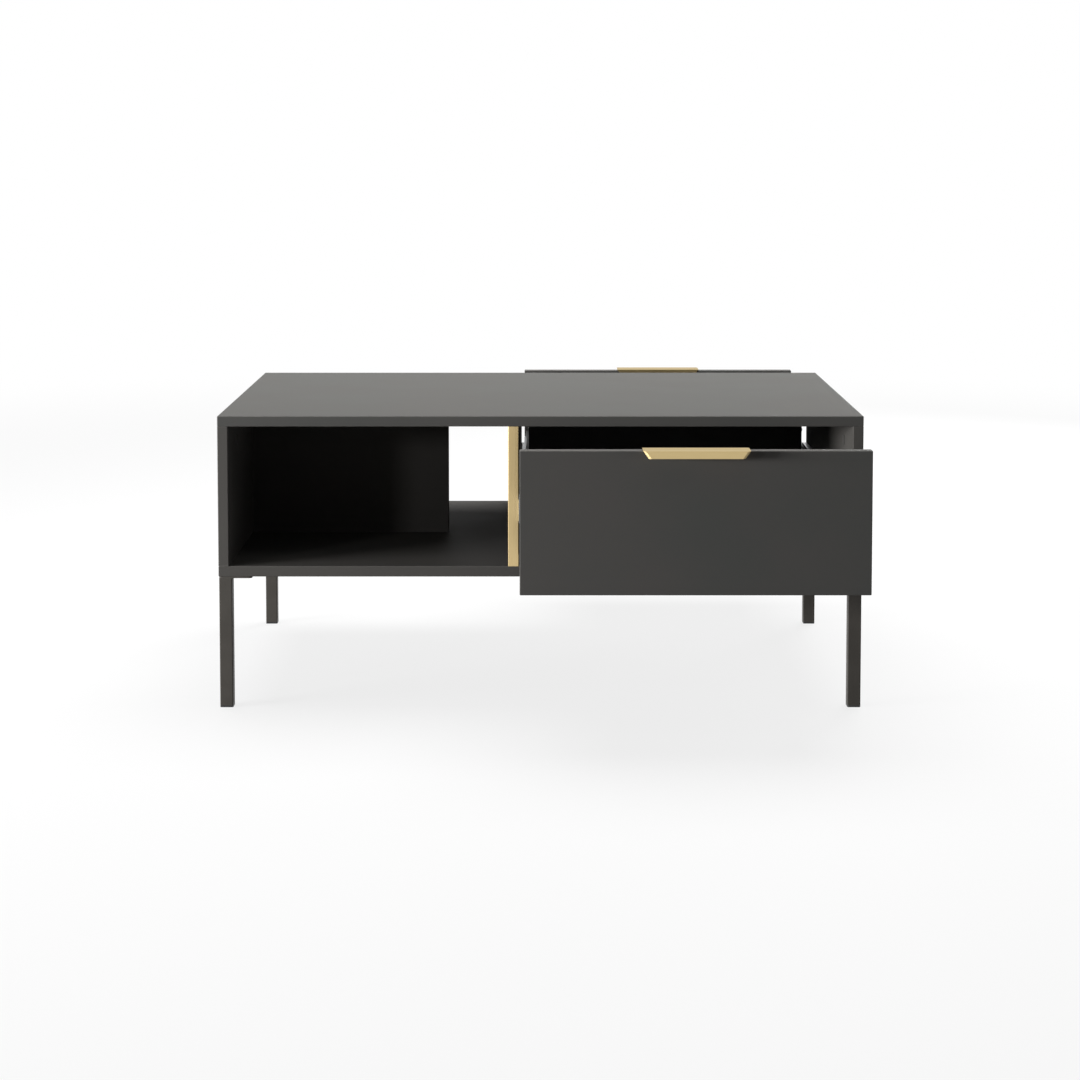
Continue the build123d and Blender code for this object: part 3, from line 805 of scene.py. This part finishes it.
joint_row = 0.2
partition_screw_inset = 0.06
under_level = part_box("bottom_panel")[0].z
uprights = [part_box(name) for name in ("left_side_panel", "divider_panel", "right_side_panel")]
columns = [(low.x + high.x) / 2 for low, high in uprights]
spots = [(x, y, under_level) for x in columns for y in (-joint_row, joint_row)]
wall_low, wall_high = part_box("niche_partition")
wall_columns = (wall_low.x + partition_screw_inset, wall_high.x - partition_screw_inset)
spots += [(x, 0, under_level) for x in wall_columns]
places = [(spot, (0, 0, -1)) for spot in spots]
confirmat_set = add_fasteners("confirmat_set", confirmat_shape(), places, "carcass")
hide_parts("confirmat_screws")

# %% [markdown]
# Cam locks are cast discs in the boards, flush with the face, with a cross to turn them by. A turn
# pulls in the head of a bolt that sits in the other board. The carcass has larger ones than the
# drawers, where they stay bare.


# %% Place the cam locks
def cam_shape(radius, depth):
    """Cam lock with its face at Z = 0 and its body below."""
    shape = bmesh.new()
    outline = [(radius - 0.001, -depth), (radius, -depth + 0.001), (radius, -0.0006)]
    spin_outline(shape, outline + [(radius - 0.0006, -0.0001), (radius * 0.58, 0)], 28)
    press_cross(shape, arm=radius * 0.13, depth=0.003)
    return shape


cam_drop = 0.034
cam_setback = 0.024
niche_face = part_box("left_side_panel")[1].x
bay_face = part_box("divider_panel")[1].x
cam_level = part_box("top_panel")[0].z - cam_drop
cam_places = in_pairs([((bay_face, -joint_row, cam_level), (1, 0, 0))], x_axis, bay_middle)
cam_places = in_pairs(cam_places + [((niche_face, -joint_row, cam_level), (1, 0, 0))], y_axis, 0)
cam = cam_shape(radius=0.0075, depth=0.0125)
cam_set = add_fasteners("cam_lock_set", cam, cam_places, "carcass")
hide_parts("cam_locks")

cam_row = side_low.y + cam_setback
for end, row in (("front", cam_row), ("rear", -cam_row)):
    places = in_pairs([((side_high.x, row, rail_middle), (1, 0, 0))], x_axis, bay_middle)
    cam = cam_shape(radius=0.006, depth=0.010)
    cam_set = add_fasteners(f"{end}_drawer_cam_set", cam, places, f"{end}_drawer")
    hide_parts(f"{end}_drawer_cam_locks")

# %% [markdown]
# The carcass cams are hidden under thin plastic caps in the colour of the boards. A cap is a shallow
# lid, so it is turned like the screws, from a low outline with a rounded rim.

# %% Cover the carcass cams
cap_plastic = moulded(
    "cap_plastic", screen_colour(81, 80, 78), screen_colour(85, 83, 81), roughness=0.6, gloss=0.03
)
cap = bmesh.new()
outline = [(0.0086, 0), (0.0086, 0.0005), (0.0083, 0.0009), (0.0076, 0.0012), (0.0035, 0.0014)]
spin_outline(cap, outline, 32)
add_piece("cam_caps", copy_shape(cap, aim_all(cam_places)), cap_plastic, "carcass")

# %% [markdown]
# ## Weld beads
# Each leg tube is welded to its plate along the two sides that face the middle of the table. A bead
# is a row of overlapping puddles, so a small three-cornered profile is drawn along the first side in
# steps that swell and shrink by turns, spun round the corner of the tube, and drawn along the second
# side in the same way. The other three legs get mirror images.

# %% Lay the weld beads
tube = 0.020
bead_leg = 0.0024
puddles = 10
puddle_step = tube / puddles
swelling = 1.2
bead_smoothing = 1.0
tube_corner = Vector((plate_low.x + tube, plate_low.y + tube, plate_level))


def draw_bead(shape, face, step):
    """Draw a profile along the tube, swelling and shrinking by turns about its root corner."""
    for number in range(puddles):
        drawn = bmesh.ops.extrude_face_region(shape, geom=[face])["geom"]
        face = next(part for part in drawn if isinstance(part, bmesh.types.BMFace))
        bmesh.ops.translate(shape, verts=face.verts, vec=step)
        root = min(face.verts, key=lambda corner: (corner.co - tube_corner).length).co.copy()
        size = swelling if number % 2 == 0 else 1 / swelling
        about_root = Matrix.Translation(-root)
        bmesh.ops.scale(shape, verts=face.verts, vec=(size, size, size), space=about_root)
    return face


beads = bmesh.new()
start = Vector((tube_corner.x, plate_low.y, plate_level))
profile = ((0, 0, 0), (bead_leg, 0, 0), (0, 0, -bead_leg))
first = beads.faces.new([beads.verts.new(start + Vector(corner)) for corner in profile])
last = draw_bead(beads, first, (0, puddle_step, 0))
spun = bmesh.ops.spin(
    beads, geom=[last, *last.edges, *last.verts], cent=tube_corner, axis=(0, 0, 1),
    angle=math.pi / 2, steps=5,
)["geom_last"]
last = next(part for part in spun if isinstance(part, bmesh.types.BMFace))
last = draw_bead(beads, last, (-puddle_step, 0, 0))
inner = [face for face in beads.faces if len(face.verts) == 3 and face not in (first, last)]
bmesh.ops.delete(beads, geom=inner, context="FACES_ONLY")
bmesh.ops.remove_doubles(beads, verts=beads.verts, dist=1e-6)
for axis in ("X", "Y"):
    bmesh.ops.mirror(
        beads, geom=[*beads.verts, *beads.edges, *beads.faces], matrix=Matrix.Identity(4),
        merge_dist=0.0, axis=axis,
    )
bmesh.ops.recalc_face_normals(beads, faces=beads.faces)
print("open edges in the beads:", sum(not edge.is_manifold for edge in beads.edges))
add_piece("leg_weld_beads", beads, powder_coat, "carcass", bead_smoothing)

# %% [markdown]
# ## Rounded edges
# The handles are tumbled after folding, so their sheet has no sharp edges. A rounded edge matters most
# on shiny metal, since it catches a bright line of the lamp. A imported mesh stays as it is, so one
# modifier joins its faces where they meet and the next one rounds the edges between them.

# %% Round the handles
join_distance = 0.00001
rounding_width = 0.0009
for end in ends:
    handle = nodes[f"{end}_drawer_handle"]
    join = handle.modifiers.new("join", "WELD")
    join.merge_threshold = join_distance
    rounding = handle.modifiers.new("rounding", "BEVEL")
    rounding.width = rounding_width
    rounding.segments = 3
    rounding.limit_method = "ANGLE"
    rounding.angle_limit = math.radians(20)
    print(handle.name, [item.type for item in handle.modifiers])
